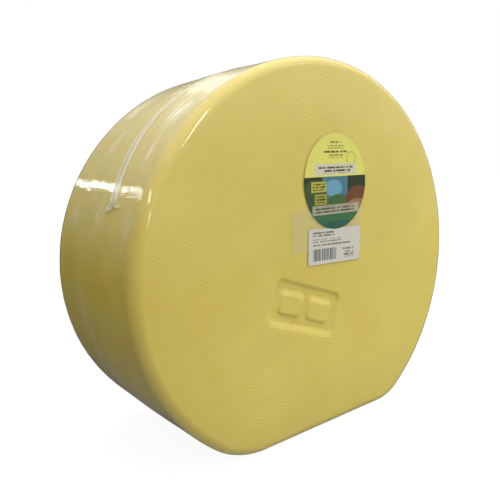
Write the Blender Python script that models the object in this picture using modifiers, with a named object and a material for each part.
"""A whole provolone wheel in its clear shrink bag, standing on the flat that it was set down on, in metres.

+Z is up, the labelled face looks towards -Y, and X runs along the flat foot.
The origin is on the foot, under the middle of the wheel.
"""

from math import atan2, ceil, cos, pi, radians, sin, tau

import bmesh
import bpy
from mathutils import Matrix, Vector

MM = 0.001

# The wheel: a disc a little wider than it is tall, set down on a flat foot.
MEAN_RADIUS = 162 * MM
THICKNESS = 142.8 * MM
CENTRE_HEIGHT = 137.6 * MM
EDGE_RADIUS = 17.9 * MM

# Soft cheese sags: the disc is swollen along one line, and slightly three-cornered.
OVAL_SWELL = 2.7 * MM
OVAL_TURN = radians(11)
EGG_SWELL = 1.0 * MM
EGG_TURN = radians(68)

# The foot runs into the rim round a slack corner on the left and a tighter one on the right.
LEFT_FOOT_RADIUS = 70 * MM
RIGHT_FOOT_RADIUS = 46 * MM

OUTLINE_STEP = 6.0 * MM
EDGE_SEGMENTS = 6

# The press mark: a shallow tablet sunk in the face, with two plain pads left standing in it.
MARK_SIZE = (69 * MM, 33 * MM)
MARK_CENTRE = (-22.1 * MM, 106.8 * MM)
MARK_TURN = radians(-20)
MARK_DEPTH = 2.4 * MM
MARK_CORNER = 5 * MM
MARK_WALL_SLOPE = 1.6 * MM
PAD_SIZE = (24 * MM, 16.5 * MM)
PAD_OFFSET = 15 * MM
PAD_TOP_BELOW_FACE = 0.5 * MM
PAD_CORNER = 4 * MM
CORNER_SEGMENTS = 4

# The bag's heat seal: a rolled fin over the rim, pressed nearly flat at the top, with a folded ear across each end.
SEAL_RADIUS = 2.4 * MM
SEAL_SUNK = 0.9 * MM
SEAL_PRESSED = 1.1 * MM
SEAL_FROM = radians(160)
SEAL_TO = radians(22)
SEAL_STEP = radians(2.5)
SEAL_OFFSET = -9 * MM
SEAL_DRIFT = -14 * MM
SEAL_DRIFT_SPAN = radians(30)
EAR_BACK = 8 * MM
EAR_FRONT = -12 * MM
EAR_DROP = radians(2.5)
SEAL_SIDES = 2

# Labels lie a hair clear of the face, each over the one before.
GAP = 0.3 * MM
LABEL_THICKNESS = 0.3 * MM
OVAL_LABEL_SIZE = (68 * MM, 74 * MM)
OVAL_LABEL_CENTRE = (11.9 * MM, 202.0 * MM)
OVAL_LABEL_SIDES = 72
WEIGH_LABEL_SIZE = (58 * MM, 27.6 * MM)
WEIGH_LABEL_CENTRE = (10.0 * MM, 152.2 * MM)
WEIGH_LABEL_TURN = radians(-1.9)
PATCH_SIZE = (77 * MM, 32 * MM)
PATCH_CENTRE = (3.1 * MM, 166 * MM)
LABEL_CORNER = 1.2 * MM

FACE_Y = -THICKNESS / 2


def clear_scene():
    for obj in list(bpy.data.objects):
        bpy.data.objects.remove(obj, do_unlink=True)


def make_collection(name):
    collection = bpy.data.collections.new(name)
    bpy.context.scene.collection.children.link(collection)
    return collection


def plain_material(name, colour, roughness, alpha=1.0):
    material = bpy.data.materials.new(name)
    material.use_nodes = True
    shader = material.node_tree.nodes["Principled BSDF"]
    shader.inputs["Base Color"].default_value = (*colour, 1.0)
    shader.inputs["Roughness"].default_value = roughness
    shader.inputs["Metallic"].default_value = 0.0
    shader.inputs["Alpha"].default_value = alpha
    return material


def mesh_object(name, shape, collection, material=None):
    """Turns a bmesh into an object, and frees it."""
    mesh = bpy.data.meshes.new(name)
    shape.to_mesh(mesh)
    shape.free()
    obj = bpy.data.objects.new(name, mesh)
    collection.objects.link(obj)
    if material:
        mesh.materials.append(material)
        mesh.shade_smooth()
        mesh.set_sharp_from_angle(angle=radians(35))
    return obj


def hide_helper(obj):
    obj.hide_render = True
    obj.display_type = "WIRE"


# The wheel's outline, in the X and Z of the face.


def disc_radius(angle):
    oval = OVAL_SWELL * cos(2 * (angle - OVAL_TURN))
    egg = EGG_SWELL * cos(3 * (angle - EGG_TURN))
    return MEAN_RADIUS + oval + egg


def disc_slope(angle):
    oval = -2 * OVAL_SWELL * sin(2 * (angle - OVAL_TURN))
    egg = -3 * EGG_SWELL * sin(3 * (angle - EGG_TURN))
    return oval + egg


def disc_point(angle):
    """A point of the disc before the foot is cut, and the outward normal there."""
    radius = disc_radius(angle)
    slope = disc_slope(angle)
    point = Vector((radius * cos(angle), CENTRE_HEIGHT + radius * sin(angle)))
    along = Vector(
        (
            slope * cos(angle) - radius * sin(angle),
            slope * sin(angle) + radius * cos(angle),
        )
    )
    normal = Vector((along.y, -along.x)).normalized()
    return point, normal


def foot_corner(corner_radius, low, high):
    """Where an arc touches both the disc and the foot: its angle on the disc, and its centre."""

    def height_over_foot(angle):
        point, normal = disc_point(angle)
        return (point - corner_radius * normal).y - corner_radius

    for _ in range(50):
        middle = (low + high) / 2
        if height_over_foot(middle) > 0:
            high = middle
        else:
            low = middle
    point, normal = disc_point(high)
    return high, point - corner_radius * normal, atan2(normal.y, normal.x)


def arc(centre, radius, start, end):
    steps = max(2, ceil(abs(end - start) * radius / OUTLINE_STEP))
    turns = [start + (end - start) * i / steps for i in range(steps + 1)]
    return [centre + radius * Vector((cos(turn), sin(turn))) for turn in turns]


def wheel_outline():
    """The face's outline anticlockwise from the right foot corner, centred left to right over the origin."""
    right_angle, right_centre, right_turn = foot_corner(
        RIGHT_FOOT_RADIUS, -0.45 * pi, 0.1 * pi
    )
    left_angle, left_centre, left_turn = foot_corner(
        LEFT_FOOT_RADIUS, 1.45 * pi, 0.9 * pi
    )
    steps = ceil((left_angle - right_angle) * MEAN_RADIUS / OUTLINE_STEP)
    points = []
    for i in range(1, steps):
        angle = right_angle + (left_angle - right_angle) * i / steps
        points.append(disc_point(angle)[0])
    points += arc(left_centre, LEFT_FOOT_RADIUS, left_turn % tau, 1.5 * pi)
    points += arc(right_centre, RIGHT_FOOT_RADIUS, -0.5 * pi, right_turn)
    reach = [point.x for point in points]
    middle = (min(reach) + max(reach)) / 2
    return [point - Vector((middle, 0)) for point in points], middle


def rim_point(angle, middle, along, sunk):
    """A point on the rim at an angle about the disc's centre, some way along the axle and under the skin."""
    point, normal = disc_point(angle)
    point = point - sunk * normal
    return Vector((point.x - middle, along, point.y))


# Helpers that cut and add.


def rounded_block(size, depth, corner, taper):
    """A block lying in the face's plane with its open side at y = 0, round corners and leaning walls."""
    shape = bmesh.new()
    bmesh.ops.create_cube(shape, size=1.0)
    bmesh.ops.scale(shape, vec=(size[0], 2 * depth, size[1]), verts=shape.verts)
    uprights = [
        edge
        for edge in shape.edges
        if abs(edge.verts[0].co.y - edge.verts[1].co.y) > depth
    ]
    bmesh.ops.bevel(
        shape,
        geom=uprights,
        offset=corner,
        offset_type="OFFSET",
        segments=CORNER_SEGMENTS,
        profile=0.5,
        affect="EDGES",
        material=-1,
    )
    lean_x = 1 - taper / (size[0] / 2)
    lean_z = 1 - taper / (size[1] / 2)
    for vert in shape.verts:
        if vert.co.y > 0:
            vert.co.x *= lean_x
            vert.co.z *= lean_z
    return shape


def face_place(centre, turn, depth):
    """Puts a shape made at the origin on the face, turned in its plane and set into it by depth."""
    return Matrix.Translation((centre[0], FACE_Y + depth, centre[1])) @ Matrix.Rotation(
        -turn, 4, "Y"
    )


def make_mark_cutter(cutters):
    shape = rounded_block(MARK_SIZE, MARK_DEPTH, MARK_CORNER, MARK_WALL_SLOPE)
    shape.transform(face_place(MARK_CENTRE, MARK_TURN, 0))
    cutter = mesh_object("mark_cutter", shape, cutters)
    hide_helper(cutter)
    return cutter


def make_pad(index, cutters):
    """One pad of the mark, rooted below the mark's floor."""
    height = MARK_DEPTH - PAD_TOP_BELOW_FACE
    shape = rounded_block(PAD_SIZE, height, PAD_CORNER, -MARK_WALL_SLOPE)
    side = -1 if index == 0 else 1
    shape.transform(Matrix.Translation((side * PAD_OFFSET, 0, 0)))
    shape.transform(
        face_place(MARK_CENTRE, MARK_TURN, PAD_TOP_BELOW_FACE + height)
    )
    pad = mesh_object(f"pad_{index + 1}", shape, cutters)
    hide_helper(pad)
    return pad


def rolled_film(name, points, cutters):
    """A round strand of rolled film along a list of points, as a closed mesh."""
    curve = bpy.data.curves.new(name + "_line", "CURVE")
    curve.dimensions = "3D"
    spline = curve.splines.new("POLY")
    spline.points.add(len(points) - 1)
    for slot, point in zip(spline.points, points):
        slot.co = (*point, 1.0)
    curve.bevel_depth = SEAL_RADIUS
    curve.bevel_resolution = SEAL_SIDES
    curve.use_fill_caps = True
    line = bpy.data.objects.new(name + "_line", curve)
    cutters.objects.link(line)
    graph = bpy.context.evaluated_depsgraph_get()
    mesh = bpy.data.meshes.new_from_object(line.evaluated_get(graph))
    shape = bmesh.new()
    shape.from_mesh(mesh)
    bmesh.ops.remove_doubles(shape, verts=shape.verts, dist=0.01 * MM)
    bmesh.ops.recalc_face_normals(shape, faces=shape.faces)
    bpy.data.objects.remove(line, do_unlink=True)
    bpy.data.meshes.remove(mesh)
    strand = mesh_object(name, shape, cutters)
    hide_helper(strand)
    return strand


def seal_along(angle):
    """How far along the axle the seal lies: it drifts towards the labelled face near its ends."""
    from_left = max(0.0, 1 - (SEAL_FROM - angle) / SEAL_DRIFT_SPAN)
    from_right = max(0.0, 1 - (angle - SEAL_TO) / SEAL_DRIFT_SPAN)
    return SEAL_OFFSET + SEAL_DRIFT * from_left**1.6 + SEAL_DRIFT / 2 * from_right**1.6


def make_seal(middle, cutters):
    steps = round((SEAL_FROM - SEAL_TO) / SEAL_STEP)
    points = []
    for i in range(steps + 1):
        share = i / steps
        angle = SEAL_FROM + (SEAL_TO - SEAL_FROM) * share
        sunk = SEAL_SUNK + SEAL_PRESSED * sin(pi * share) ** 2
        points.append(rim_point(angle, middle, seal_along(angle), sunk))
    return rolled_film("seal_fin", points, cutters)


def make_ear(name, end_angle, downwards, middle, cutters):
    """The bag's corner folded across the seal's end: low at the back, level at the front."""
    along = seal_along(end_angle)
    back = rim_point(
        end_angle + downwards * EAR_DROP, middle, along + EAR_BACK, SEAL_SUNK
    )
    knot = rim_point(end_angle, middle, along, SEAL_SUNK)
    front = rim_point(end_angle, middle, along + EAR_FRONT, SEAL_SUNK)
    return rolled_film(name, [back, knot, front], cutters)


# The pieces.


def make_wheel(parts, cutters):
    outline, middle = wheel_outline()
    shape = bmesh.new()
    bmesh.ops.create_cone(
        shape,
        cap_ends=True,
        cap_tris=False,
        segments=len(outline),
        radius1=MEAN_RADIUS,
        radius2=MEAN_RADIUS,
        depth=THICKNESS,
    )
    shape.transform(Matrix.Rotation(pi / 2, 4, "X"))
    for vert in shape.verts:
        turn = atan2(vert.co.z, vert.co.x) % tau
        place = outline[round(turn / tau * len(outline)) % len(outline)]
        vert.co.x = place.x
        vert.co.z = place.y
    bmesh.ops.recalc_face_normals(shape, faces=shape.faces)
    rind = plain_material("wrapped_rind", (0.60, 0.47, 0.13), 0.35)
    wheel = mesh_object("wrapped_cheese", shape, parts, rind)

    edge = wheel.modifiers.new("rounded edges", "BEVEL")
    edge.width = EDGE_RADIUS
    edge.segments = EDGE_SEGMENTS
    edge.limit_method = "ANGLE"
    edge.angle_limit = radians(60)
    edge.use_clamp_overlap = False

    mark = wheel.modifiers.new("press mark", "BOOLEAN")
    mark.operation = "DIFFERENCE"
    mark.object = make_mark_cutter(cutters)

    added = [make_pad(0, cutters), make_pad(1, cutters), make_seal(middle, cutters)]
    added.append(make_ear("left_ear", SEAL_FROM, 1, middle, cutters))
    added.append(make_ear("right_ear", SEAL_TO, -1, middle, cutters))
    for piece in added:
        join = wheel.modifiers.new("join " + piece.name, "BOOLEAN")
        join.operation = "UNION"
        join.object = piece
    return wheel


def label_depth(layer):
    """The middle of a label's thickness, outside the face: layer 0 lies next to the film."""
    return -(GAP + LABEL_THICKNESS / 2 + layer * (GAP + LABEL_THICKNESS))


def make_sheet_label(name, size, centre, turn, layer, parts, material):
    shape = bmesh.new()
    bmesh.ops.create_cube(shape, size=1.0)
    bmesh.ops.scale(shape, vec=(size[0], LABEL_THICKNESS, size[1]), verts=shape.verts)
    uprights = [
        edge
        for edge in shape.edges
        if abs(edge.verts[0].co.y - edge.verts[1].co.y) > LABEL_THICKNESS / 2
    ]
    bmesh.ops.bevel(
        shape,
        geom=uprights,
        offset=LABEL_CORNER,
        offset_type="OFFSET",
        segments=CORNER_SEGMENTS,
        profile=0.5,
        affect="EDGES",
        material=-1,
    )
    label = mesh_object(name, shape, parts, material)
    label.location = (centre[0], FACE_Y + label_depth(layer), centre[1])
    label.rotation_euler = (0, -turn, 0)
    return label


def make_oval_label(parts, layer):
    shape = bmesh.new()
    bmesh.ops.create_cone(
        shape,
        cap_ends=True,
        cap_tris=False,
        segments=OVAL_LABEL_SIDES,
        radius1=0.5,
        radius2=0.5,
        depth=LABEL_THICKNESS,
    )
    shape.transform(Matrix.Rotation(pi / 2, 4, "X"))
    width, height = OVAL_LABEL_SIZE
    bmesh.ops.scale(shape, vec=(width, 1.0, height), verts=shape.verts)
    print_stock = plain_material("printed_paper", (0.45, 0.48, 0.12), 0.4)
    label = mesh_object("oval_label", shape, parts, print_stock)
    x, z = OVAL_LABEL_CENTRE
    label.location = (x, FACE_Y + label_depth(layer), z)
    return label


def main():
    clear_scene()
    parts = make_collection("provolone_wheel")
    cutters = make_collection("cutters")
    make_wheel(parts, cutters)
    clear_film = plain_material("clear_film", (0.72, 0.66, 0.40), 0.3)
    thermal_paper = plain_material("thermal_paper", (0.70, 0.70, 0.68), 0.5)
    make_sheet_label("clear_patch", PATCH_SIZE, PATCH_CENTRE, 0, 0, parts, clear_film)
    make_sheet_label(
        "weigh_label",
        WEIGH_LABEL_SIZE,
        WEIGH_LABEL_CENTRE,
        WEIGH_LABEL_TURN,
        1,
        parts,
        thermal_paper,
    )
    make_oval_label(parts, 2)


main()
